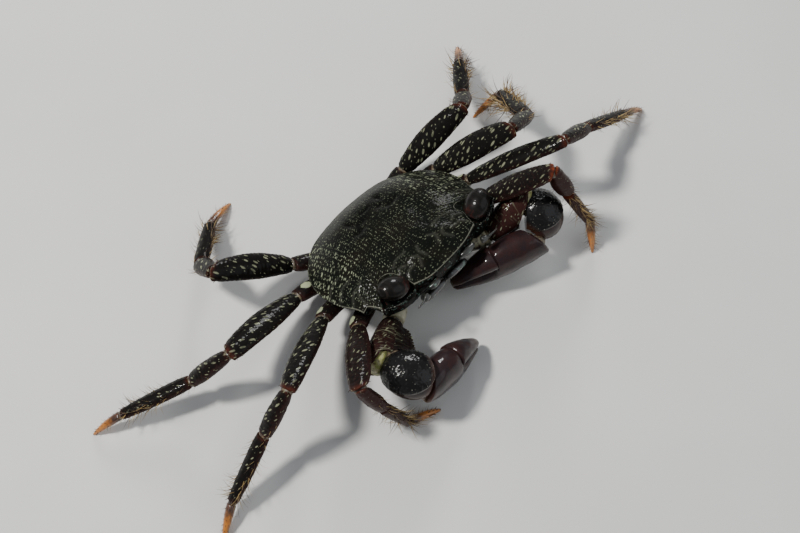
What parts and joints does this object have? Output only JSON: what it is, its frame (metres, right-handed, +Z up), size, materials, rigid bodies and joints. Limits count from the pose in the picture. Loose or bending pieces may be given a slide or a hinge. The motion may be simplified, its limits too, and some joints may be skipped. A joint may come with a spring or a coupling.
{
  "type": "cliff crab",
  "caption": "Dark speckled cliff crab standing on flat ground, claws folded in front of its face, eyes raised, walking legs spread",
  "frame": {"origin": "on the floor under the middle of the crab's bounding box", "axes": "+Z up, -Y is where the face points, +X is the crab's left"},
  "size_m": [0.1306, 0.0666, 0.0261],
  "materials": {
    "shell": "wet black-green shell with rows of small pale dashes",
    "limb": "wet black-brown shell with pale cross dashes",
    "claw": "smooth glossy purple-brown shell",
    "foot": "orange horn",
    "belly": "pale cream shell",
    "eye": "glossy dark cornea",
    "mouth": "grey-green shell"
  },
  "bodies": {
    "root": {"carapace": "shell", "breast_plate": "belly", "tail_flap": "belly", "maxilliped_left": "mouth", "antenna_left": "mouth", "eye_left": "eye", "ischium_left_2": "limb", "merus_left_2": "limb", "carpus_left_2": "limb", "propodus_left_2": "limb", "dactylus_left_2": "foot", "ischium_left_3": "limb", "merus_left_3": "limb", "carpus_left_3": "limb", "propodus_left_3": "limb", "dactylus_left_3": "foot", "ischium_left_4": "limb", "merus_left_4": "limb", "carpus_left_4": "limb", "propodus_left_4": "limb", "dactylus_left_4": "foot", "ischium_left_5": "limb", "merus_left_5": "limb", "carpus_left_5": "limb", "propodus_left_5": "limb", "dactylus_left_5": "foot", "claw_ischium_left": "belly", "claw_merus_left": "limb", "claw_carpus_left": "claw", "claw_palm_left": "claw", "claw_finger_left": "claw", "maxilliped_right": "mouth", "antenna_right": "mouth", "eye_right": "eye", "ischium_right_2": "limb", "merus_right_2": "limb", "carpus_right_2": "limb", "propodus_right_2": "limb", "dactylus_right_2": "foot", "ischium_right_3": "limb", "merus_right_3": "limb", "carpus_right_3": "limb", "propodus_right_3": "limb", "dactylus_right_3": "foot", "ischium_right_4": "limb", "merus_right_4": "limb", "carpus_right_4": "limb", "propodus_right_4": "limb", "dactylus_right_4": "foot", "ischium_right_5": "limb", "merus_right_5": "limb", "carpus_right_5": "limb", "propodus_right_5": "limb", "dactylus_right_5": "foot", "claw_ischium_right": "belly", "claw_merus_right": "limb", "claw_carpus_right": "claw", "claw_palm_right": "claw", "claw_finger_right": "claw"}
  },
  "joints": []
}
